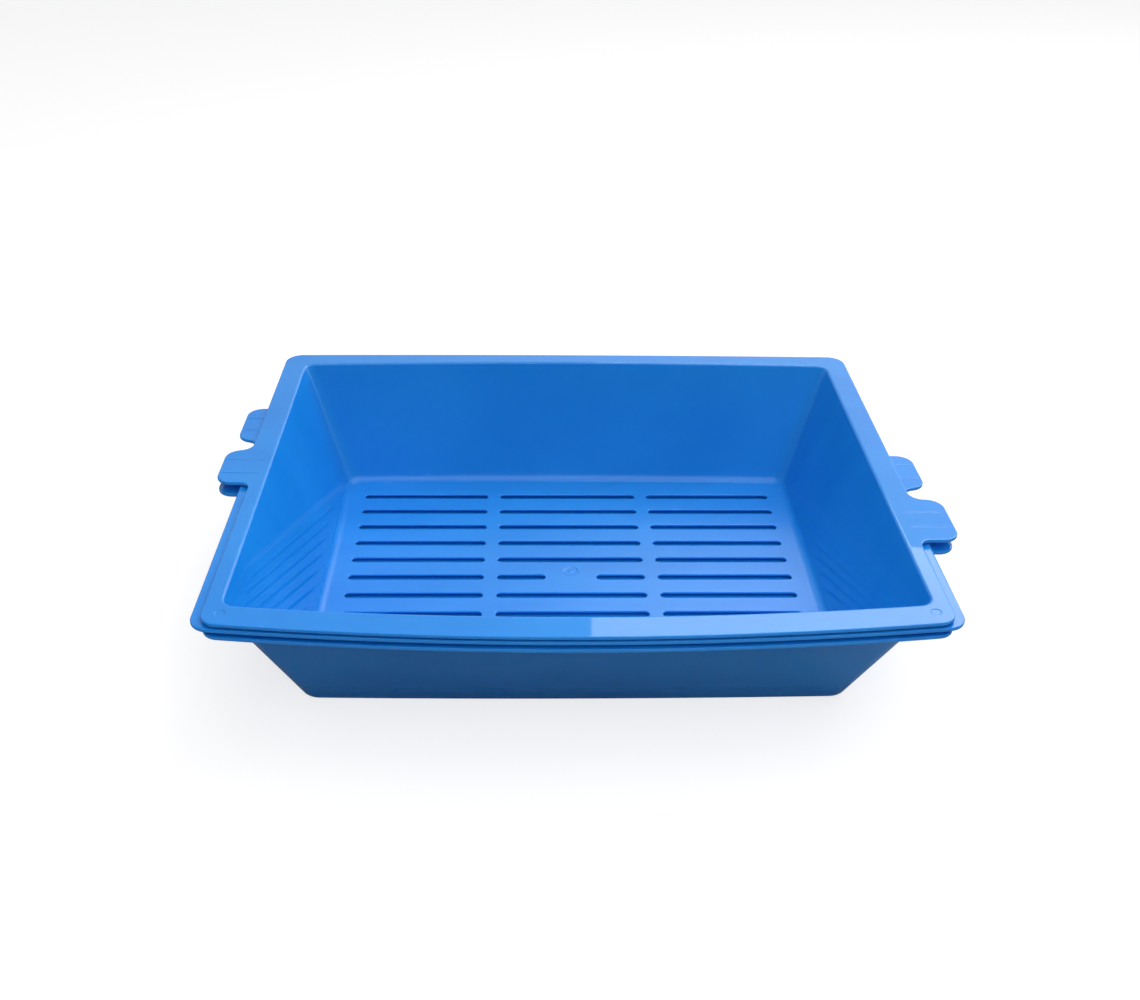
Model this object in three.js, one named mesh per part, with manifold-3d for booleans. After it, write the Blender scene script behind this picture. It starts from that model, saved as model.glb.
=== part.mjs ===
// A self-sifting litter tray: three shallow trays of blue polypropylene that nest in one another.
// The top one has a slotted floor and lifts out to sift; the two below it are solid, and the middle
// one is turned end for end, so that every tray has a hand tab of its own at each end.
//
// Millimetres. +X runs along the trays' length, +Y to the back and +Z up. The origin is on the
// ground under the middle of the stack. A tray's own frame is the same, from its floor's underside.

import * as THREE from 'three';
import { LoftGeometry } from 'three/addons/geometries/LoftGeometry.js';
import { mergeVertices } from 'three/addons/utils/BufferGeometryUtils.js';
import Module from 'manifold-3d';

const wasm = await Module();
wasm.setup();

// ---- Driving dimensions ----

// The basin, which all three trays share. Lengths are inside, where the walls' faces would meet the
// rim's top, with the long sides taken at their ends, before they bow out.
const rimLength = 452;
const rimWidth = 366;
const trayHeight = 95.2;
const endDraft = THREE.MathUtils.degToRad(21.35);
const sideDraft = THREE.MathUtils.degToRad(22.65);
const rimCornerRadius = 9.5;
const floorCornerRadius = 12;
const floorThickness = 1.8;
const wallThickness = 1.15;
const insideFillet = 8;
const outsideFillet = 4.5;
const floorJoinWidth = 3;

// The long sides bow outwards, more at the rim than at the floor, and their rims sag a little.
const rimBow = 9.4;
const floorBow = 2;
const innerRimSag = 1.8;
const outerRimSag = 3.3;

// The flange round the rim is wide behind each hand tab and narrow in front of it.
const flangeThickness = 1.5;
const sideFlangeWidth = 20;
const wideEndFlange = 18;
const narrowEndFlange = 10.6;
const rearFlangeRadius = 14;
const frontFlangeRadius = 12;
const lipDepth = 2.5;
const lipThickness = 1.2;
const rimInnerRound = 1.5;
const rimEdgeRound = 0.5;

// A hand tab at each end, and the two low ribs across it. Each tab's length is along the trays' end,
// and its reach is measured from the basin's edge. The right tab's reach is every tray's own.
const leftTab = { y: 0, length: 51, reach: 36 };
const rightTab = { y: -76.5, length: 56 };
const baseRightReach = 37.5;
const middleRightReach = 34;
const sifterRightReach = 39.5;
const tabTipRadius = 12;
const tabRearBlend = 10;
const tabFrontBlend = 7;
const tabRibSpacing = 20;
const tabRibWidth = 1.6;
const tabRibHeight = 0.35;
const tabRibTipMargin = 3;
const tabRibLength = 28;

// The sifting slots, in rows across the floor, each row broken by two bridges. The row that passes
// the moulding gate is split once more round it.
const slotWidth = 7;
const slotPitch = 25;
const slotSideMargin = 28;
const slotEndMargin = 16.5;
const slotFieldCentreY = 3.5;
const middleSlotLength = 115.2;
const bridgeWidth = 10.4;
const gateY = -1;
const gateLandLength = 40;

// The gaps between neighbouring trays' walls, so that they lift apart freely. The sifter sits snugly
// in the middle tray, which has more room in the base.
const snugClearance = 0.31;
const looseClearance = 0.96;

// How finely the curves are cut.
const filletSteps = 3;
const wallSteps = 4;
const cornerSteps = 4;
const sideSteps = 12;
const tipSteps = 4;
const blendSteps = 3;
const slotEndSteps = 3;

// ---- Sizes that follow ----

const wallRise = trayHeight - floorThickness;
const floorLength = rimLength - 2 * wallRise * Math.tan(endDraft);
const floorWidth = rimWidth - 2 * wallRise * Math.tan(sideDraft);
const steepestDraft = Math.min(endDraft, sideDraft);
const wallRun = wallThickness / Math.cos(steepestDraft);

const wideHalfLength = rimLength / 2 + wideEndFlange;
const narrowHalfLength = rimLength / 2 + narrowEndFlange;
const flangeHalfWidth = rimWidth / 2 + sideFlangeWidth;

// How far one tray stands above the one it nests in. It is set by what would touch first: the walls,
// the floors, or a rim over the ribs.
function nestPitch(clearance) {
  return Math.max(
    (wallThickness + clearance) / Math.sin(steepestDraft),
    floorThickness + clearance,
    lipDepth + tabRibHeight + clearance,
  );
}

// ---- Outlines seen from above ----

// One corner's arc and where the bowed side takes over from it. The arc stops short of a quarter
// turn by the angle at which the side leaves it, so that the two are tangent.
function cornerOf(halfLength, halfWidth, radius, bow) {
  const centreX = halfLength - radius;
  const centreY = halfWidth - radius;
  const sideAngle = Math.atan((2 * bow) / centreX);
  return {
    points: new THREE.ArcCurve(centreX, centreY, radius, 0, Math.PI / 2 - sideAngle).getPoints(cornerSteps),
    sideStart: new THREE.Vector2(
      centreX + radius * Math.sin(sideAngle),
      centreY + radius * Math.cos(sideAngle),
    ),
  };
}

// The bowed side from one corner to the other, without its two end points.
function sideOf(start, bow) {
  const peak = new THREE.Vector2(0, start.y + 2 * bow);
  const end = new THREE.Vector2(-start.x, start.y);
  return new THREE.QuadraticBezierCurve(start, peak, end).getPoints(sideSteps).slice(1, -1);
}

// A closed outline, anticlockwise from the front of the right end. rightEnd and leftEnd hold the
// points between the corners, both listed from front to back.
function outlineOf({ rear, front, halfWidth, bow, rightEnd, leftEnd }) {
  const half = ({ halfLength, radius }) => {
    const corner = cornerOf(halfLength, halfWidth, radius, bow);
    const mirrored = corner.points.map((p) => new THREE.Vector2(-p.x, p.y)).reverse();
    return [...corner.points, ...sideOf(corner.sideStart, bow), ...mirrored];
  };
  const frontHalf = half(front).map((p) => new THREE.Vector2(-p.x, -p.y));
  return [...rightEnd, ...half(rear), ...[...leftEnd].reverse(), ...frontHalf];
}

// How far each point of a closed outline lies along its bowed side: 1 at the side's middle, and 0 at
// its ends, on the corners and along the trays' ends.
function bowShare(endCount) {
  const corner = Array(cornerSteps + 1).fill(0);
  const side = Array.from({ length: sideSteps - 1 }, (_, i) => 1 - (1 - (2 * (i + 1)) / sideSteps) ** 2);
  const end = Array(endCount).fill(0);
  const half = [...corner, ...side, ...corner];
  return [...end, ...half, ...end, ...half];
}

// One shoulder of a tab, from its tip to the flange's line, as x against distance from the tab's
// middle. Where the tab is short the two arcs meet, and the point they share is listed once.
// inset moves the whole outline into the material.
function shoulderOf(tab, flangeX, blendRadius, inset) {
  const tipX = rimLength / 2 + tab.reach - tabTipRadius;
  const tipS = tab.length / 2 - tabTipRadius;
  const overlap = Math.max(flangeX + blendRadius - tipX, 0);
  const turn = Math.acos(overlap / (tabTipRadius + blendRadius));
  const blendS = tipS + (tabTipRadius + blendRadius) * Math.sin(turn);
  const tip = new THREE.ArcCurve(tipX, tipS, tabTipRadius - inset, 0, turn);
  const blend = new THREE.ArcCurve(
    flangeX + blendRadius, blendS, blendRadius + inset, turn + Math.PI, Math.PI, true,
  );
  const shared = overlap > 0 ? 1 : 0;
  return [...tip.getPoints(tipSteps), ...blend.getPoints(blendSteps).slice(shared)];
}

// The flange's outer edge along one end, from front to back: narrow, then the tab, then wide.
function flangeEnd(tab, inset) {
  const front = shoulderOf(tab, narrowHalfLength, tabFrontBlend, inset).reverse();
  const rear = shoulderOf(tab, wideHalfLength, tabRearBlend, inset);
  return [
    ...front.map((p) => new THREE.Vector2(p.x, tab.y - p.y)),
    ...rear.map((p) => new THREE.Vector2(p.x, tab.y + p.y)),
  ];
}

// The whole flange's outer edge, moved into the material by inset.
function flangeOutline(rightReach, inset) {
  return outlineOf({
    rear: { halfLength: wideHalfLength - inset, radius: rearFlangeRadius - inset },
    front: { halfLength: narrowHalfLength - inset, radius: frontFlangeRadius - inset },
    halfWidth: flangeHalfWidth - inset,
    bow: rimBow,
    rightEnd: flangeEnd({ ...rightTab, reach: rightReach }, inset),
    leftEnd: flangeEnd(leftTab, inset).map((p) => new THREE.Vector2(-p.x, p.y)),
  });
}

// Where the wall's columns stand along an end, from -1 at the front to 1 at the back. They follow
// the flange's edge above them, evened out by its length so that none of them meet, and are the same
// for every tray.
function columnShares(tab) {
  const start = new THREE.Vector2(narrowHalfLength, frontFlangeRadius - flangeHalfWidth);
  const finish = new THREE.Vector2(wideHalfLength, flangeHalfWidth - rearFlangeRadius);
  const edge = [start, ...flangeEnd(tab, 0), finish];
  const along = [0];
  edge.slice(1).forEach((p, i) => along.push(along[i] + p.distanceTo(edge[i])));
  const byLength = along.map((d) => d / along.at(-1));
  const byPlace = edge.map((p) => (p.y - start.y) / (finish.y - start.y));
  return byLength.map((share, i) => share + byPlace[i] - 1).slice(1, -1);
}
const rightShares = columnShares({ ...rightTab, reach: leftTab.reach });
const leftShares = columnShares(leftTab);
const sagShares = bowShare(rightShares.length);

// The wall's inner face at a height, moved outwards by offset. Level 0 is the floor's top and level
// 1 the rim's top. The shares say where the columns on the right and left ends stand.
function wallOutline(level, offset, right, left) {
  const between = (low, high) => THREE.MathUtils.lerp(low, high, level);
  const halfLength = between(floorLength, rimLength) / 2 + offset;
  const halfWidth = between(floorWidth, rimWidth) / 2 + offset;
  const radius = between(floorCornerRadius, rimCornerRadius) + offset;
  const onEnd = (side, shares) =>
    shares.map((share) => new THREE.Vector2(side * halfLength, share * (halfWidth - radius)));
  return outlineOf({
    rear: { halfLength, radius },
    front: { halfLength, radius },
    halfWidth,
    bow: between(floorBow, rimBow),
    rightEnd: onEnd(1, right),
    leftEnd: onEnd(-1, left),
  });
}

// ---- The tray's body ----

// Gives an outline its height, less the sag at the middle of the long sides.
function ringAt(outline, height, sag) {
  return outline.map((p, i) => new THREE.Vector3(p.x, p.y, height - sag * sagShares[i]));
}

// A ring on the wall, or on the wall's line carried on above or below it.
function wallRing(height, offset) {
  const level = (height - floorThickness) / wallRise;
  const outline = wallOutline(level, offset, rightShares, leftShares);
  return ringAt(outline, height, innerRimSag * Math.max(level, 0));
}

function flangeRing(rightReach, height, inset) {
  return ringAt(flangeOutline(rightReach, inset), height, outerRimSag);
}

// How far inside the wall's line a fillet at its foot begins, and how high up the wall it ends.
function filletFoot(radius) {
  return radius * Math.tan((Math.PI / 2 - steepestDraft) / 2);
}

function filletHeight(radius) {
  return radius * (1 - Math.sin(steepestDraft));
}

// The rings of the fillet between a floor face at height and a wall face that stands offset out from
// the basin's, from the floor to the wall.
function filletRings(height, offset, radius) {
  const foot = filletFoot(radius);
  const sweep = Math.PI / 2 - steepestDraft;
  const rings = [];
  for (let i = 0; i <= filletSteps; i++) {
    const angle = (sweep * i) / filletSteps;
    const rise = radius * (1 - Math.cos(angle));
    const run = radius * Math.sin(angle) - foot;
    rings.push(wallRing(height + rise, offset + run - rise * Math.tan(steepestDraft)));
  }
  return rings;
}

// The rings up a bowed wall, above the last one of its fillet.
function wallRings(filletTop, topHeight, offset) {
  const heightAt = (i) => THREE.MathUtils.lerp(filletTop, topHeight, i / wallSteps);
  return Array.from({ length: wallSteps }, (_, i) => wallRing(heightAt(i + 1), offset));
}

// The walls and flange with a narrow band of the floor, as rings from the floor's underside out, up
// the wall, round the flange's lip, over the rim, down to the floor's top and back to the start.
function trayShell(rightReach) {
  const bandEdge = -filletFoot(outsideFillet) - floorJoinWidth;
  const outsideFilletTop = filletHeight(outsideFillet);
  const insideFilletTop = floorThickness + filletHeight(insideFillet);
  const rings = [
    wallRing(0, bandEdge),
    ...filletRings(0, wallRun, outsideFillet),
    ...wallRings(outsideFilletTop, trayHeight - flangeThickness, wallRun),
    flangeRing(rightReach, trayHeight - flangeThickness, lipThickness),
    flangeRing(rightReach, trayHeight - lipDepth, lipThickness),
    flangeRing(rightReach, trayHeight - lipDepth, 0),
    flangeRing(rightReach, trayHeight - rimEdgeRound, 0),
    flangeRing(rightReach, trayHeight, rimEdgeRound),
    wallRing(trayHeight, rimInnerRound),
    ...wallRings(insideFilletTop, trayHeight - rimInnerRound, 0).reverse(),
    ...filletRings(floorThickness, 0, insideFillet).reverse(),
    wallRing(floorThickness, bandEdge),
  ];
  return new LoftGeometry([...rings, rings[0]]);
}

// The rest of the floor, which ends halfway across the shell's band.
function floorPlate() {
  const edge = -filletFoot(outsideFillet) - floorJoinWidth / 2;
  const plate = new THREE.Shape(wallOutline(0, edge, [], []));
  return new THREE.ExtrudeGeometry(plate, { depth: floorThickness, bevelEnabled: false });
}

// The two ribs on each tab, sunk into the flange by half its thickness.
function tabRibs(rightReach) {
  const sunk = flangeThickness / 2;
  const ribs = [];
  for (const [side, y, reach] of [[1, rightTab.y, rightReach], [-1, leftTab.y, leftTab.reach]]) {
    for (const half of [-1, 1]) {
      const rib = new THREE.BoxGeometry(tabRibLength, tabRibWidth, tabRibHeight + sunk);
      rib.translate(
        side * (rimLength / 2 + reach - tabRibTipMargin - tabRibLength / 2),
        y + (half * tabRibSpacing) / 2,
        trayHeight + (tabRibHeight - sunk) / 2,
      );
      ribs.push(rib);
    }
  }
  return ribs;
}

// ---- The sifting slots ----

// A slot with round ends, between two places on its row.
function slotShape(fromX, toX, y) {
  const radius = slotWidth / 2;
  const shape = new THREE.Shape();
  shape.absarc(toX - radius, y, radius, -Math.PI / 2, Math.PI / 2);
  shape.absarc(fromX + radius, y, radius, Math.PI / 2, (3 * Math.PI) / 2);
  return shape;
}

function slotShapes() {
  const rows = Math.floor((floorWidth - 2 * slotSideMargin) / slotPitch) + 1;
  const fieldEnd = floorLength / 2 - slotEndMargin;
  const middleEnd = middleSlotLength / 2;
  const shapes = [];
  for (let row = 0; row < rows; row++) {
    const y = slotFieldCentreY + ((rows - 1) / 2 - row) * slotPitch;
    shapes.push(slotShape(-fieldEnd, -middleEnd - bridgeWidth, y));
    shapes.push(slotShape(middleEnd + bridgeWidth, fieldEnd, y));
    if (Math.abs(y - gateY) < slotPitch / 2) {
      shapes.push(slotShape(-middleEnd, -gateLandLength / 2, y));
      shapes.push(slotShape(gateLandLength / 2, middleEnd, y));
    } else {
      shapes.push(slotShape(-middleEnd, middleEnd, y));
    }
  }
  return shapes;
}

function slotCutters() {
  const cut = new THREE.ExtrudeGeometry(slotShapes(), {
    depth: 3 * floorThickness,
    bevelEnabled: false,
    curveSegments: slotEndSteps,
  });
  return cut.translate(0, 0, -floorThickness);
}

// ---- Solids ----

function toSolid(geometry) {
  const bare = new THREE.BufferGeometry();
  bare.setAttribute('position', geometry.getAttribute('position'));
  bare.setIndex(geometry.index);
  const merged = mergeVertices(bare, 1e-4);
  return new wasm.Manifold(new wasm.Mesh({
    numProp: 3,
    vertProperties: merged.attributes.position.array,
    triVerts: new Uint32Array(merged.index.array),
  }));
}

function toGeometry(solid) {
  const mesh = solid.getMesh();
  const geometry = new THREE.BufferGeometry();
  geometry.setAttribute('position', new THREE.BufferAttribute(mesh.vertProperties, 3));
  geometry.setIndex(new THREE.BufferAttribute(mesh.triVerts, 1));
  geometry.computeVertexNormals();
  return geometry;
}

// ---- The three trays ----

const polypropylene = new THREE.MeshStandardMaterial({ color: 0x1f6fd6, roughness: 0.25, metalness: 0 });

function makeTray({ name, rightReach, height, turned, slotted }) {
  let solid = toSolid(trayShell(rightReach)).add(toSolid(floorPlate()));
  for (const rib of tabRibs(rightReach)) {
    solid = solid.add(toSolid(rib));
  }
  if (slotted) {
    solid = solid.subtract(toSolid(slotCutters()));
  }
  const tray = new THREE.Mesh(toGeometry(solid), polypropylene);
  tray.name = name;
  tray.position.z = height;
  tray.rotation.z = turned ? Math.PI : 0;
  return tray;
}

const middleHeight = nestPitch(looseClearance);
const sifterHeight = middleHeight + nestPitch(snugClearance);

const litterTray = new THREE.Group();
litterTray.add(
  makeTray({
    name: 'base_tray', rightReach: baseRightReach, height: 0, turned: false, slotted: false,
  }),
  makeTray({
    name: 'middle_tray', rightReach: middleRightReach, height: middleHeight, turned: true, slotted: false,
  }),
  makeTray({
    name: 'sifting_tray', rightReach: sifterRightReach, height: sifterHeight, turned: false, slotted: true,
  }),
);

export default litterTray;
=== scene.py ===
import math
import bmesh
import bpy
from mathutils import Matrix, Vector
from mathutils.geometry import delaunay_2d_cdt


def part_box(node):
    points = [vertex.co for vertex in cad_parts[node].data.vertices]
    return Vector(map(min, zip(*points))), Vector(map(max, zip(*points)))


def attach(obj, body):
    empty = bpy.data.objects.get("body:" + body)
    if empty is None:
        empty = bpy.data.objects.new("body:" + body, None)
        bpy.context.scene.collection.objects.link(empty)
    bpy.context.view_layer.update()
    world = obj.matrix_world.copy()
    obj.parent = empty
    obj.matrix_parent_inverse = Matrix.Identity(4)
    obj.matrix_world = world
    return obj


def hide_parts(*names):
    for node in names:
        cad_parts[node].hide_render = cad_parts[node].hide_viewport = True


# A three-piece self-sifting litter tray in glossy blue polypropylene. The three nesting trays are
# rebuilt here as smooth mouldings at the CAD trays' own dimensions.
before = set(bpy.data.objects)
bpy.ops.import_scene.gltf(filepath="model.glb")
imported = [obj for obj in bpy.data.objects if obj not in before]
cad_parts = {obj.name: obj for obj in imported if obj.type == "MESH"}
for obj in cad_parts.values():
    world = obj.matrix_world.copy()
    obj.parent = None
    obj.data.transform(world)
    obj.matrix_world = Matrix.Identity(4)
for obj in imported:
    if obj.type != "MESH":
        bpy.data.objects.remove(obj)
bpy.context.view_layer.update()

MM = 0.001

# ---- Tray dimensions, in millimetres, as in the CAD model, but with softer rounded edges ----

RIM_LENGTH = 452.0
RIM_WIDTH = 366.0
TRAY_HEIGHT = 95.2
END_DRAFT = math.radians(21.35)
SIDE_DRAFT = math.radians(22.65)
RIM_CORNER_RADIUS = 9.5
FLOOR_CORNER_RADIUS = 12.0
FLOOR_THICKNESS = 1.8
WALL_THICKNESS = 1.15
INSIDE_FILLET = 8.0
OUTSIDE_FILLET = 4.5

RIM_BOW = 9.4
FLOOR_BOW = 2.0
INNER_RIM_SAG = 1.8
OUTER_RIM_SAG = 3.3

FLANGE_THICKNESS = 1.5
SIDE_FLANGE_WIDTH = 20.0
WIDE_END_FLANGE = 18.0
NARROW_END_FLANGE = 10.6
REAR_FLANGE_RADIUS = 14.0
FRONT_FLANGE_RADIUS = 12.0
LIP_DEPTH = 2.5
LIP_THICKNESS = 1.2
RIM_INNER_ROUND = 2.2
RIM_EDGE_ROUND = 0.8
UNDER_RIM_FILLET = 1.2
LIP_FILLET = 0.4

# A hand tab is (its middle's y, its length along the end, its reach from the basin's edge). Each tray
# has a right tab with a reach of its own.
LEFT_TAB_REACH = 36.0
LEFT_TAB = (0.0, 51.0, LEFT_TAB_REACH)
RIGHT_TAB_Y = -76.5
RIGHT_TAB_LENGTH = 56.0
TAB_TIP_RADIUS = 12.0
TAB_REAR_BLEND = 10.0
TAB_FRONT_BLEND = 7.0
TAB_RIB_SPACING = 20.0
TAB_RIB_WIDTH = 1.6
TAB_RIB_HEIGHT = 0.35
TAB_RIB_TIP_MARGIN = 3.0
TAB_RIB_LENGTH = 28.0
# A rib's section from the tab to its crest, as (offset from its outline, share of its height).
TAB_RIB_SECTION = [
    (0.7, 0.0), (0.4, 0.0), (0.2, 0.04), (0.05, 0.18), (-0.1, 0.44),
    (-0.25, 0.7), (-0.4, 0.9), (-0.55, 0.98), (-0.7, 1.0),
]

SLOT_WIDTH = 7.0
SLOT_PITCH = 25.0
SLOT_ROWS = 10
SLOT_END_MARGIN = 16.5
SLOT_FIELD_CENTRE_Y = 3.5
MIDDLE_SLOT_LENGTH = 115.2
BRIDGE_WIDTH = 10.4
SLOT_TOP_ROUND = 0.7
SLOT_BOTTOM_ROUND = 0.3
GATE_Y = -1.0
GATE_LAND_LENGTH = 40.0
# The gate mark's section from its edge inwards, as (radius, height over the floor).
GATE_SECTION = [
    (6.6, 0.0), (6.2, 0.0), (6.0, -0.06), (5.8, -0.2), (5.5, -0.26), (5.1, -0.28),
    (1.8, -0.28), (1.5, -0.26), (1.2, -0.1), (0.9, 0.0), (0.5, 0.03),
]

# The round marks that the mould's ejector pins leave on the rim's two narrow corners.
EJECTOR_X = 225.0
EJECTOR_Y = -190.5
EJECTOR_RADIUS = 3.5
EJECTOR_DEPTH = 0.3
# A mark's section from its edge inwards, as (offset from its outline, share of its depth).
EJECTOR_SECTION = [(0.3, 0.0), (0.0, 0.0), (-0.08, -0.25), (-0.2, -0.75), (-0.35, -1.0), (-0.8, -1.0)]

# ---- How finely the curves are cut ----

CORNER_STEPS = 14
SIDE_STEPS = 60
TIP_STEPS = 12
BLEND_STEPS = 9
FILLET_STEPS = 9
ROUND_STEPS = 5
WALL_STEPS = 10
END_RUN_STEPS = 14
SLOT_END_STEPS = 10
GATE_STEPS = 48
EJECTOR_STEPS = 32

# The flat margin, in millimetres, kept beside each rounded edge so that flat faces shade flat.
SUPPORT = 0.5

# ---- Sizes that follow ----

WALL_RISE = TRAY_HEIGHT - FLOOR_THICKNESS
FLOOR_LENGTH = RIM_LENGTH - 2 * WALL_RISE * math.tan(END_DRAFT)
FLOOR_WIDTH = RIM_WIDTH - 2 * WALL_RISE * math.tan(SIDE_DRAFT)
DRAFT = min(END_DRAFT, SIDE_DRAFT)
WALL_RUN = WALL_THICKNESS / math.cos(DRAFT)
WIDE_HALF_LENGTH = RIM_LENGTH / 2 + WIDE_END_FLANGE
NARROW_HALF_LENGTH = RIM_LENGTH / 2 + NARROW_END_FLANGE
FLANGE_HALF_WIDTH = RIM_WIDTH / 2 + SIDE_FLANGE_WIDTH
QUARTER = math.pi / 2


def between(low, high, share):
    return low + (high - low) * share


# ---- Outlines seen from above, as lists of (x, y) ----

def arc(x, y, radius, start, end, steps):
    angles = [between(start, end, i / steps) for i in range(steps + 1)]
    return [(x + radius * math.cos(a), y + radius * math.sin(a)) for a in angles]


def circle(x, y, radius, steps):
    return arc(x, y, radius, 0, 4 * QUARTER, steps)[:-1]


def half_outline(half_length, half_width, radius, bow):
    """One long side with the corners at its ends, anticlockwise. The side is a parabola that leaves
    each corner's arc at a tangent."""
    x = half_length - radius
    y = half_width - radius
    leave = math.atan(2 * bow / x)
    corner = arc(x, y, radius, 0, QUARTER - leave, CORNER_STEPS)
    start_x, start_y = corner[-1]
    places = [1 - 2 * i / SIDE_STEPS for i in range(1, SIDE_STEPS)]
    side = [(start_x * k, start_y + bow * (1 - k * k)) for k in places]
    return corner + side + [(-px, py) for px, py in reversed(corner)]


def closed_outline(rear, front, right_end, left_end):
    """Right end, back, left end and front. The ends are listed from front to back."""
    turned = [(-x, -y) for x, y in front]
    return right_end + rear + left_end[::-1] + turned


def shoulder(tab, flange_x, blend_radius, inset):
    """One shoulder of a tab from its tip to the flange's line, as (x, distance from the tab's middle)."""
    _, length, reach = tab
    x = RIM_LENGTH / 2 + reach - TAB_TIP_RADIUS
    y = length / 2 - TAB_TIP_RADIUS
    radii = TAB_TIP_RADIUS + blend_radius
    blend_x = flange_x + blend_radius
    overlap = max(blend_x - x, 0)
    turn = math.acos(overlap / radii)
    tip = arc(x, y, TAB_TIP_RADIUS - inset, 0, turn, TIP_STEPS)
    blend_y = y + radii * math.sin(turn)
    blend = arc(blend_x, blend_y, blend_radius + inset, turn + math.pi, math.pi, BLEND_STEPS)
    return tip + blend[1 if overlap > 0 else 0:]


def run(start, end, steps):
    """The points between two places on a straight stretch, without the places themselves."""
    shares = [i / steps for i in range(1, steps)]
    return [(between(start[0], end[0], s), between(start[1], end[1], s)) for s in shares]


def flange_end(tab, inset):
    """The flange's edge along one end, from front to back: narrow, the tab, then wide."""
    middle = tab[0]
    narrow = shoulder(tab, NARROW_HALF_LENGTH, TAB_FRONT_BLEND, inset)
    wide = shoulder(tab, WIDE_HALF_LENGTH, TAB_REAR_BLEND, inset)
    front = [(x, middle - d) for x, d in reversed(narrow)]
    rear = [(x, middle + d) for x, d in wide]
    first = (NARROW_HALF_LENGTH - inset, FRONT_FLANGE_RADIUS - FLANGE_HALF_WIDTH)
    last = (WIDE_HALF_LENGTH - inset, FLANGE_HALF_WIDTH - REAR_FLANGE_RADIUS)
    before = run(first, front[0], END_RUN_STEPS)
    tip = run(front[-1], rear[0], END_RUN_STEPS)
    after = run(rear[-1], last, END_RUN_STEPS)
    return before + front + tip + rear + after


def flange_outline(tabs, inset):
    """The flange's whole edge, moved inwards by inset. The tabs are the right one and the left one."""
    half_width = FLANGE_HALF_WIDTH - inset
    rear = half_outline(WIDE_HALF_LENGTH - inset, half_width, REAR_FLANGE_RADIUS - inset, RIM_BOW)
    front = half_outline(NARROW_HALF_LENGTH - inset, half_width, FRONT_FLANGE_RADIUS - inset, RIM_BOW)
    left = [(-x, y) for x, y in flange_end(tabs[1], inset)]
    return closed_outline(rear, front, flange_end(tabs[0], inset), left)


def column_shares(tab):
    """Where the wall's columns stand along an end, from -1 to 1. They follow the flange's edge,
    evened out by its length so that none of them meet."""
    first = (NARROW_HALF_LENGTH, FRONT_FLANGE_RADIUS - FLANGE_HALF_WIDTH)
    last = (WIDE_HALF_LENGTH, FLANGE_HALF_WIDTH - REAR_FLANGE_RADIUS)
    edge = [first] + flange_end(tab, 0) + [last]
    along = [0.0]
    for p, q in zip(edge, edge[1:]):
        along.append(along[-1] + math.dist(p, q))
    by_place = [(y - first[1]) / (last[1] - first[1]) for _, y in edge]
    return [d / along[-1] + place - 1 for d, place in zip(along, by_place)][1:-1]


# The walls' columns are the same in every tray, so the right end's follow one reach for all of them.
RIGHT_SHARES = column_shares((RIGHT_TAB_Y, RIGHT_TAB_LENGTH, LEFT_TAB_REACH))
LEFT_SHARES = column_shares(LEFT_TAB)
END_COUNT = len(RIGHT_SHARES)
HALF_COUNT = 2 * (CORNER_STEPS + 1) + SIDE_STEPS - 1
STATIONS = 2 * (END_COUNT + HALF_COUNT)


def sag_shares():
    """How much of the rim's sag each station takes: all of it at the middle of a long side."""
    corner = [0.0] * (CORNER_STEPS + 1)
    side = [1 - (1 - 2 * i / SIDE_STEPS) ** 2 for i in range(1, SIDE_STEPS)]
    half = corner + side + corner
    end = [0.0] * END_COUNT
    return end + half + end + half


SAG = sag_shares()


def wall_outline(level, offset):
    """The wall's inner face, moved outwards by offset. Level 0 is the floor's top, 1 the rim's."""
    half_length = between(FLOOR_LENGTH, RIM_LENGTH, level) / 2 + offset
    half_width = between(FLOOR_WIDTH, RIM_WIDTH, level) / 2 + offset
    radius = between(FLOOR_CORNER_RADIUS, RIM_CORNER_RADIUS, level) + offset
    bow = between(FLOOR_BOW, RIM_BOW, level)
    half = half_outline(half_length, half_width, radius, bow)
    right = [(half_length, s * (half_width - radius)) for s in RIGHT_SHARES]
    left = [(-half_length, s * (half_width - radius)) for s in LEFT_SHARES]
    return closed_outline(half, half, right, left)


def stadium(x0, x1, y, radius):
    """A slot's outline, anticlockwise, between the centres of its round ends."""
    right = arc(x1, y, radius, -QUARTER, QUARTER, SLOT_END_STEPS)
    left = arc(x0, y, radius, QUARTER, 3 * QUARTER, SLOT_END_STEPS)
    return right + left


# ---- Rings round the tray ----

def at_height(outline, height, sag):
    return [(x, y, height - sag * share) for (x, y), share in zip(outline, SAG)]


def wall_ring(height, offset):
    level = (height - FLOOR_THICKNESS) / WALL_RISE
    return at_height(wall_outline(level, offset), height, INNER_RIM_SAG * max(level, 0))


def flange_ring(tabs, height, inset):
    return at_height(flange_outline(tabs, inset), height, OUTER_RIM_SAG)


def fillet_foot(radius):
    return radius * math.tan((QUARTER - DRAFT) / 2)


def foot_fillet(height, offset, radius):
    """From a floor face up to a wall face that stands offset out from the basin's."""
    rings = []
    for i in range(FILLET_STEPS + 1):
        angle = (QUARTER - DRAFT) * i / FILLET_STEPS
        rise = radius * (1 - math.cos(angle))
        out = radius * math.sin(angle) - fillet_foot(radius)
        rings.append(wall_ring(height + rise, offset + out - rise * math.tan(DRAFT)))
    return rings


def top_round(height, offset, radius):
    """From a wall face up to a flange face at height: the rim's inner edge, or the fillet under it."""
    rings = []
    for i in range(ROUND_STEPS + 1):
        angle = between(DRAFT, QUARTER, i / ROUND_STEPS)
        rise = radius * (math.sin(angle) - 1)
        out = fillet_foot(radius) - radius * math.cos(angle)
        rings.append(wall_ring(height + rise, offset + out - rise * math.tan(DRAFT)))
    return rings


def wall_between(low, high, offset):
    heights = [between(low, high, i / WALL_STEPS) for i in range(1, WALL_STEPS)]
    return [wall_ring(h, offset) for h in heights]


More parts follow.
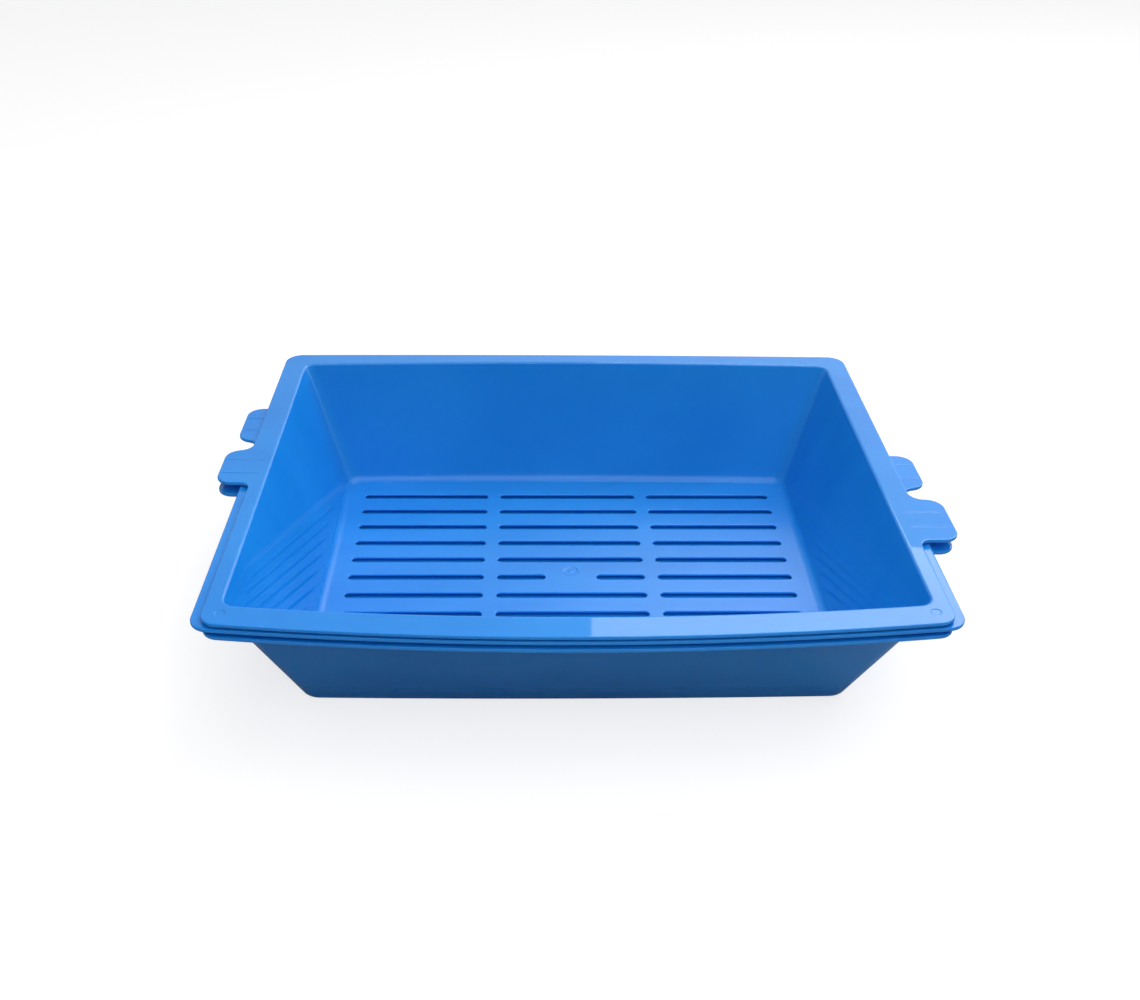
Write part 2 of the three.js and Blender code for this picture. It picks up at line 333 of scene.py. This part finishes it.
def outer_wall():
    foot = foot_fillet(0, WALL_RUN, OUTSIDE_FILLET)
    head = top_round(TRAY_HEIGHT - FLANGE_THICKNESS, WALL_RUN, UNDER_RIM_FILLET)
    low = OUTSIDE_FILLET * (1 - math.sin(DRAFT))
    high = TRAY_HEIGHT - FLANGE_THICKNESS - UNDER_RIM_FILLET * (1 - math.sin(DRAFT))
    return foot + wall_between(low, high, WALL_RUN) + head


def inner_wall():
    foot = foot_fillet(FLOOR_THICKNESS, 0, INSIDE_FILLET)
    head = top_round(TRAY_HEIGHT, 0, RIM_INNER_ROUND)
    low = FLOOR_THICKNESS + INSIDE_FILLET * (1 - math.sin(DRAFT))
    high = TRAY_HEIGHT - RIM_INNER_ROUND * (1 - math.sin(DRAFT))
    return foot + wall_between(low, high, 0) + head


def lip(tabs):
    """From the flange's underside round the turned-down lip to the flange's top."""
    under = TRAY_HEIGHT - FLANGE_THICKNESS
    bottom = TRAY_HEIGHT - LIP_DEPTH
    half = LIP_THICKNESS / 2
    turns = [QUARTER * i / ROUND_STEPS for i in range(ROUND_STEPS + 1)]
    rings = []
    for a in turns:
        inset = LIP_THICKNESS + LIP_FILLET * (1 - math.sin(a))
        rings.append(flange_ring(tabs, under - LIP_FILLET * (1 - math.cos(a)), inset))
    for i in range(2 * ROUND_STEPS + 1):
        a = QUARTER * i / ROUND_STEPS
        rings.append(flange_ring(tabs, bottom + half * (1 - math.sin(a)), half * (1 + math.cos(a))))
    for a in turns:
        height = TRAY_HEIGHT - RIM_EDGE_ROUND * (1 - math.sin(a))
        rings.append(flange_ring(tabs, height, RIM_EDGE_ROUND * (1 - math.cos(a))))
    return rings


def tray_rings(tabs):
    """All rings from the underside's flat margin, up the outside, over the rim and down to the
    floor's top, and the place in that list where the rim's flat top begins."""
    outside = [wall_ring(0, -fillet_foot(OUTSIDE_FILLET) - SUPPORT)] + outer_wall()
    under = TRAY_HEIGHT - FLANGE_THICKNESS
    under_inner = wall_ring(under, WALL_RUN + fillet_foot(UNDER_RIM_FILLET) + SUPPORT)
    under_outer = flange_ring(tabs, under, LIP_THICKNESS + LIP_FILLET + SUPPORT)
    top_outer = flange_ring(tabs, TRAY_HEIGHT, RIM_EDGE_ROUND + SUPPORT)
    top_inner = wall_ring(TRAY_HEIGHT, fillet_foot(RIM_INNER_ROUND) + SUPPORT)
    inside = inner_wall()[::-1] + [wall_ring(FLOOR_THICKNESS, -fillet_foot(INSIDE_FILLET) - SUPPORT)]
    rings = outside + [under_inner, under_outer] + lip(tabs) + [top_outer]
    top_at = len(rings) - 1
    return rings + [top_inner] + inside, top_at


# ---- Building one tray's mesh ----

def add_ring(mesh, ring):
    return [mesh.verts.new(p) for p in ring]


def skin(mesh, lower, upper, columns=None):
    """Quads between two rings, facing away from the material."""
    count = len(lower)
    for i in columns if columns is not None else range(count):
        j = (i + 1) % count
        mesh.faces.new((lower[i], lower[j], upper[j], upper[i]))


def fill_flat(mesh, outer, holes, faces_up):
    """Fills a flat face between an outline and the outlines inside it, which are all convex."""
    verts, edges, hole_of = [], [], []
    for number, loop in enumerate([outer] + holes):
        start, size = len(verts), len(loop)
        edges += [(start + i, start + (i + 1) % size) for i in range(size)]
        verts += loop
        hole_of += [number] * size
    places = [v.co.xy for v in verts]
    inside_only = 1
    _, _, faces, sources, _, _ = delaunay_2d_cdt(places, edges, [], inside_only, 1e-6)
    for face in faces:
        indices = [sources[i][0] for i in face]
        touched = {hole_of[i] for i in indices}
        if len(touched) == 1 and 0 not in touched:
            continue        # it lies inside a hole
        corners = [verts[i] for i in indices]
        a, b, c = (v.co for v in corners)
        if ((b - a).cross(c - a).z > 0) != faces_up:
            corners.reverse()
        mesh.faces.new(corners)


def raised_or_sunk(mesh, outline_at, profile):
    """Rings for a feature that grows out of a flat face: outline_at(offset) gives its outline, and
    profile its (offset, height) steps. Returns the first and last rings."""
    rings = []
    for offset, height in profile:
        rings.append(add_ring(mesh, [(x, y, height) for x, y in outline_at(offset)]))
    for first, second in zip(rings, rings[1:]):
        skin(mesh, first, second)
    return rings[0], rings[-1]


def slot_spans():
    """Every slot as (x0, x1, y), end to end."""
    field = FLOOR_LENGTH / 2 - SLOT_END_MARGIN
    middle = MIDDLE_SLOT_LENGTH / 2
    spans = []
    for row in range(SLOT_ROWS):
        y = SLOT_FIELD_CENTRE_Y + ((SLOT_ROWS - 1) / 2 - row) * SLOT_PITCH
        spans.append((-field, -middle - BRIDGE_WIDTH, y))
        spans.append((middle + BRIDGE_WIDTH, field, y))
        if abs(y - GATE_Y) < SLOT_PITCH / 2:
            spans.append((-middle, -GATE_LAND_LENGTH / 2, y))
            spans.append((GATE_LAND_LENGTH / 2, middle, y))
        else:
            spans.append((-middle, middle, y))
    return spans


def slot_profile():
    """A slot's edge from the floor's top to its underside, as (offset, height)."""
    turns = [QUARTER * i / ROUND_STEPS for i in range(ROUND_STEPS + 1)]
    top = FLOOR_THICKNESS
    steps = [(SLOT_TOP_ROUND + SUPPORT, top)]
    for a in turns:
        steps.append((SLOT_TOP_ROUND * (1 - math.sin(a)), top - SLOT_TOP_ROUND * (1 - math.cos(a))))
    for a in turns:
        steps.append((SLOT_BOTTOM_ROUND * (1 - math.cos(a)), SLOT_BOTTOM_ROUND * (1 - math.sin(a))))
    steps += [(SLOT_BOTTOM_ROUND + SUPPORT, 0.0)]
    return steps


def add_slots(mesh):
    tops, bottoms = [], []
    for x0, x1, y in slot_spans():
        half = SLOT_WIDTH / 2

        def outline_at(offset):
            return stadium(x0 + half, x1 - half, y, half + offset)

        top, bottom = raised_or_sunk(mesh, outline_at, slot_profile())
        tops.append(top)
        bottoms.append(bottom)
    return tops, bottoms


def gate_mark(mesh):
    """The moulding gate: a shallow round recess with a low pip in it."""
    profile = [(radius, FLOOR_THICKNESS + z) for radius, z in GATE_SECTION]
    outer, inner = raised_or_sunk(mesh, lambda radius: circle(0, GATE_Y, radius, GATE_STEPS), profile)
    mesh.faces.new(inner)
    return outer


def add_tab_rib(mesh, side, reach, y):
    """One low rib across a tab, which swells softly out of it and is round on top."""
    half = TAB_RIB_WIDTH / 2
    x1 = side * (RIM_LENGTH / 2 + reach - TAB_RIB_TIP_MARGIN)
    x0 = x1 - side * TAB_RIB_LENGTH
    low, high = min(x0, x1) + half, max(x0, x1) - half
    profile = [(offset, TRAY_HEIGHT + TAB_RIB_HEIGHT * share) for offset, share in TAB_RIB_SECTION]
    outer, inner = raised_or_sunk(mesh, lambda offset: stadium(low, high, y, half + offset), profile)
    mesh.faces.new(inner)
    return outer


def ejector_mark(mesh, side):
    """The shallow round print of an ejector pin, in a narrow corner of the rim."""
    profile = [(EJECTOR_RADIUS + offset, TRAY_HEIGHT + EJECTOR_DEPTH * share)
               for offset, share in EJECTOR_SECTION]

    def outline_at(radius):
        return circle(side * EJECTOR_X, EJECTOR_Y, radius, EJECTOR_STEPS)

    outer, inner = raised_or_sunk(mesh, outline_at, profile)
    mesh.faces.new(inner)
    return outer


def tray_mesh(name, right_reach, slotted):
    """One tray's moulding, in its own frame and in millimetres, as one closed skin."""
    mesh = bmesh.new()
    tabs = [(RIGHT_TAB_Y, RIGHT_TAB_LENGTH, right_reach), LEFT_TAB]
    outlines, top_at = tray_rings(tabs)
    rings = [add_ring(mesh, ring) for ring in outlines]
    # The rim's flat top has ribs and marks in it at both ends, from corner to corner, so it is filled
    # round them there. Everywhere else one row of quads is enough.
    before = -1 - CORNER_STEPS
    after = END_COUNT + CORNER_STEPS
    ends = [range(before, after), range(before + STATIONS // 2, after + STATIONS // 2)]
    end_columns = {i % STATIONS for end in ends for i in end}
    other_columns = [i for i in range(STATIONS) if i not in end_columns]
    for i, (lower, upper) in enumerate(zip(rings, rings[1:])):
        skin(mesh, lower, upper, other_columns if i == top_at else None)
    for end, side, (tab_y, _, reach) in zip(ends, (1, -1), tabs):
        columns = [i % STATIONS for i in end] + [(end[-1] + 1) % STATIONS]
        outer = [rings[top_at][i] for i in columns]
        inner = [rings[top_at + 1][i] for i in reversed(columns)]
        holes = [add_tab_rib(mesh, side, reach, tab_y + k * TAB_RIB_SPACING / 2) for k in (-1, 1)]
        holes.append(ejector_mark(mesh, side))
        fill_flat(mesh, outer + inner, holes, faces_up=True)
    tops, bottoms = add_slots(mesh) if slotted else ([], [])
    tops.append(gate_mark(mesh))
    fill_flat(mesh, rings[-1], tops, faces_up=True)
    fill_flat(mesh, rings[0], bottoms, faces_up=False)
    data = bpy.data.meshes.new(name)
    mesh.to_mesh(data)
    mesh.free()
    data.shade_smooth()
    return data


# ---- Materials ----

PLASTIC_DEEP = (0.009, 0.238, 0.76, 1)
PLASTIC_PALE = (0.014, 0.270, 0.82, 1)
PLASTIC_IOR = 1.49

# The trays' floors are moulded more matt: what lies below a height in metres, with a soft edge.
MATT_BELOW = 0.014
MATT_FADE = 0.006
MATT_ROUGHNESS = 0.27

GLOSS_ROUGHNESS = (0.015, 0.035)
SCUFF_ROUGHNESS = 0.12

# A bump is (its strength, its height in metres).
GRAIN_BUMP = (0.003, 0.0002)
RIPPLE_BUMP = (0.05, 0.0004)

# How far light of each colour gets inside the plastic: shares of the depth, which is in metres.
GLOW_SHARE = 0.4
GLOW_COLOURS = (0.3, 0.8, 1.0)
GLOW_DEPTH = 0.005


def node_material(name):
    material = bpy.data.materials.new(name)
    material.use_nodes = True
    return material, material.node_tree.nodes, material.node_tree.links


def noise(nodes, links, place, stretch, scale, detail):
    """Fractal noise over the object's own place in metres, stretched along some of its axes."""
    mapping = nodes.new("ShaderNodeMapping")
    mapping.inputs["Scale"].default_value = stretch
    links.new(place, mapping.inputs["Vector"])
    texture = nodes.new("ShaderNodeTexNoise")
    texture.inputs["Scale"].default_value = scale
    texture.inputs["Detail"].default_value = detail
    links.new(mapping.outputs["Vector"], texture.inputs["Vector"])
    return texture.outputs["Fac"]


def ranged(nodes, links, value, low, high, to_low, to_high):
    """Maps a value from one range to another, with soft ends."""
    node = nodes.new("ShaderNodeMapRange")
    node.interpolation_type = "SMOOTHSTEP"
    node.inputs["From Min"].default_value = low
    node.inputs["From Max"].default_value = high
    node.inputs["To Min"].default_value = to_low
    node.inputs["To Max"].default_value = to_high
    links.new(value, node.inputs["Value"])
    return node.outputs["Result"]


def combined(nodes, links, operation, first, second):
    """Two values added or multiplied."""
    node = nodes.new("ShaderNodeMath")
    node.operation = operation
    links.new(first, node.inputs[0])
    links.new(second, node.inputs[1])
    return node.outputs["Value"]


def bump(nodes, links, height, size):
    """A bump node that follows height. Its size is (strength, height in metres)."""
    node = nodes.new("ShaderNodeBump")
    node.inputs["Strength"].default_value, node.inputs["Distance"].default_value = size
    links.new(height, node.inputs["Height"])
    return node


def polypropylene(name):
    """Glossy blue injection-moulded plastic: cloudy flow marks, a fine mould grain, a broad ripple, a
    more matt floor, and the light rub marks that the trays give each other when they are nested."""
    material, nodes, links = node_material(name)
    shader = nodes["Principled BSDF"]
    place = nodes.new("ShaderNodeTexCoord").outputs["Object"]
    flow = noise(nodes, links, place, stretch=(1.0, 2.4, 1.0), scale=7.0, detail=3.0)
    cloud = noise(nodes, links, place, stretch=(1.0, 1.0, 1.0), scale=28.0, detail=4.0)
    grain = noise(nodes, links, place, stretch=(1.0, 1.0, 1.0), scale=1300.0, detail=2.0)
    ripple = noise(nodes, links, place, stretch=(1.0, 1.0, 1.0), scale=45.0, detail=1.0)
    rubs = noise(nodes, links, place, stretch=(6.0, 90.0, 14.0), scale=9.0, detail=3.0)

    tone = nodes.new("ShaderNodeMix")
    tone.data_type = "RGBA"
    links.new(ranged(nodes, links, flow, 0.3, 0.7, 0.0, 1.0), tone.inputs["Factor"])
    tone.inputs["A"].default_value = PLASTIC_DEEP
    tone.inputs["B"].default_value = PLASTIC_PALE
    links.new(tone.outputs["Result"], shader.inputs["Base Color"])

    parts = nodes.new("ShaderNodeSeparateXYZ")
    links.new(place, parts.inputs["Vector"])
    height = parts.outputs["Z"]
    sheen = ranged(nodes, links, cloud, 0.3, 0.7, *GLOSS_ROUGHNESS)
    scuffs = ranged(nodes, links, rubs, 0.64, 0.74, 0.0, SCUFF_ROUGHNESS)
    matt_floor = ranged(nodes, links, height, MATT_BELOW, MATT_BELOW + MATT_FADE, MATT_ROUGHNESS, 0.0)
    worn = combined(nodes, links, "ADD", sheen, scuffs)
    links.new(combined(nodes, links, "ADD", worn, matt_floor), shader.inputs["Roughness"])

    fine = bump(nodes, links, grain, GRAIN_BUMP)
    broad = bump(nodes, links, ripple, RIPPLE_BUMP)
    links.new(fine.outputs["Normal"], broad.inputs["Normal"])
    links.new(broad.outputs["Normal"], shader.inputs["Normal"])

    shader.inputs["IOR"].default_value = PLASTIC_IOR
    shader.inputs["Subsurface Weight"].default_value = GLOW_SHARE
    shader.inputs["Subsurface Radius"].default_value = GLOW_COLOURS
    shader.inputs["Subsurface Scale"].default_value = GLOW_DEPTH
    return material


# ---- Camera, floor and light ----

# The camera's place is in millimetres, and it is turned right, down and round its own axis by degrees.
CAMERA_LENS = 42.07
CAMERA_PLACE = (-31.55, -877.34, 585.68)
CAMERA_YAW = 1.958
CAMERA_DOWN = 30.152
CAMERA_ROLL = 1.0495

FLOOR_HALF_SIZE = 6.0
FLOOR_BOUNCE = (0.42, 0.42, 0.42, 1)
FLOOR_SEEN = (0.36, 0.36, 0.36, 1)
FLOOR_GLOW = 0.74
WHITE = (1, 1, 1, 1)
FAINTEST_WORLD = 0.08

# A softbox is (its name, its place, its tilt, its width, its height, its radiance), in metres.
KEY = ("key", (1.16, 1.5, 2.0), 50, 2.08, 1.5, 2.6)
OVERHEAD = ("overhead", (0.35, -0.55, 2.1), 0, 2.2, 1.6, 1.6)
FRONT = ("front", (0.1, -1.5, 1.5), -45, 1.8, 1.0, 2.8)


def add_camera():
    data = bpy.data.cameras.new("camera")
    data.lens = CAMERA_LENS
    camera = bpy.data.objects.new("camera", data)
    bpy.context.scene.collection.objects.link(camera)
    heading = Matrix.Rotation(-math.radians(CAMERA_YAW), 4, "Z")
    pitch = Matrix.Rotation(QUARTER - math.radians(CAMERA_DOWN), 4, "X")
    roll = Matrix.Rotation(math.radians(CAMERA_ROLL), 4, "Z")
    place = Matrix.Translation(Vector(CAMERA_PLACE) * MM)
    camera.matrix_world = place @ heading @ pitch @ roll
    bpy.context.scene.camera = camera


def floor_material():
    """A white floor that glows for the camera, as an overlit studio floor does, and gives back less
    light than that to the trays."""
    material, nodes, links = node_material("floor_white")
    nodes.remove(nodes["Principled BSDF"])
    output = nodes["Material Output"]
    bounce = nodes.new("ShaderNodeBsdfDiffuse")
    bounce.inputs["Color"].default_value = FLOOR_BOUNCE
    surface = nodes.new("ShaderNodeBsdfDiffuse")
    surface.inputs["Color"].default_value = FLOOR_SEEN
    glow = nodes.new("ShaderNodeEmission")
    glow.inputs["Color"].default_value = WHITE
    glow.inputs["Strength"].default_value = FLOOR_GLOW
    seen = nodes.new("ShaderNodeAddShader")
    links.new(surface.outputs["BSDF"], seen.inputs[0])
    links.new(glow.outputs["Emission"], seen.inputs[1])
    ray = nodes.new("ShaderNodeLightPath")
    pick = nodes.new("ShaderNodeMixShader")
    links.new(ray.outputs["Is Camera Ray"], pick.inputs["Fac"])
    links.new(bounce.outputs["BSDF"], pick.inputs[1])
    links.new(seen.outputs["Shader"], pick.inputs[2])
    links.new(pick.outputs["Shader"], output.inputs["Surface"])
    return material


def add_floor():
    mesh = bpy.data.meshes.new("floor")
    far = FLOOR_HALF_SIZE
    corners = [(-far, -far, 0), (far, -far, 0), (far, far, 0), (-far, far, 0)]
    mesh.from_pydata(corners, [], [(0, 1, 2, 3)])
    floor = bpy.data.objects.new("floor", mesh)
    bpy.context.scene.collection.objects.link(floor)
    mesh.materials.append(floor_material())


def add_softbox(name, place, tilt, width, height, radiance):
    """A softbox that faces straight down, or is tilted by so many degrees to face the front as well.
    A negative tilt makes it face the back."""
    data = bpy.data.lights.new(name, "AREA")
    data.shape = "RECTANGLE"
    data.size = width
    data.size_y = height
    data.energy = radiance * math.pi * width * height
    light = bpy.data.objects.new(name, data)
    light.location = place
    light.rotation_euler = (-math.radians(tilt), 0, 0)
    bpy.context.scene.collection.objects.link(light)
    return light


def add_world():
    """A studio that is dark in front, light behind, and lightest behind to the right."""
    world = bpy.data.worlds.new("studio")
    world.use_nodes = True
    nodes, links = world.node_tree.nodes, world.node_tree.links
    direction = nodes.new("ShaderNodeTexCoord").outputs["Generated"]
    parts = nodes.new("ShaderNodeSeparateXYZ")
    links.new(direction, parts.inputs["Vector"])
    behind = ranged(nodes, links, parts.outputs["Y"], -0.2, 0.6, 0.0, 1.0)
    rightwards = ranged(nodes, links, parts.outputs["X"], -0.3, 0.7, 0.52, 1.5)
    strength = nodes.new("ShaderNodeMath")
    strength.operation = "ADD"
    links.new(combined(nodes, links, "MULTIPLY", behind, rightwards), strength.inputs[0])
    strength.inputs[1].default_value = FAINTEST_WORLD
    background = nodes["Background"]
    background.inputs["Color"].default_value = WHITE
    links.new(strength.outputs["Value"], background.inputs["Strength"])
    bpy.context.scene.world = world


add_camera()
add_floor()
add_world()
add_softbox(*KEY)
add_softbox(*OVERHEAD)
# The front softbox only fills: it is not mirrored in the trays' floors.
front = add_softbox(*FRONT)
front.visible_glossy = False
bpy.context.scene.view_settings.view_transform = "Standard"

# ---- The trays ----

plastic = polypropylene("blue_polypropylene")
# Each tray is (its CAD node, its right tab's reach, is it turned end for end, is its floor slotted).
TRAYS = [
    ("base_tray", 37.5, False, False),
    ("middle_tray", 34.0, True, False),
    ("sifting_tray", 39.5, False, True),
]
for node, right_reach, turned, slotted in TRAYS:
    mesh = tray_mesh(node + "_moulding", right_reach, slotted)
    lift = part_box(node)[0].z
    turn = Matrix.Rotation(math.pi if turned else 0, 4, "Z")
    mesh.transform(Matrix.Translation((0, 0, lift)) @ turn @ Matrix.Scale(MM, 4))
    mesh.materials.append(plastic)
    tray = bpy.data.objects.new(node + "_moulding", mesh)
    bpy.context.scene.collection.objects.link(tray)
    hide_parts(node)
    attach(tray, node)
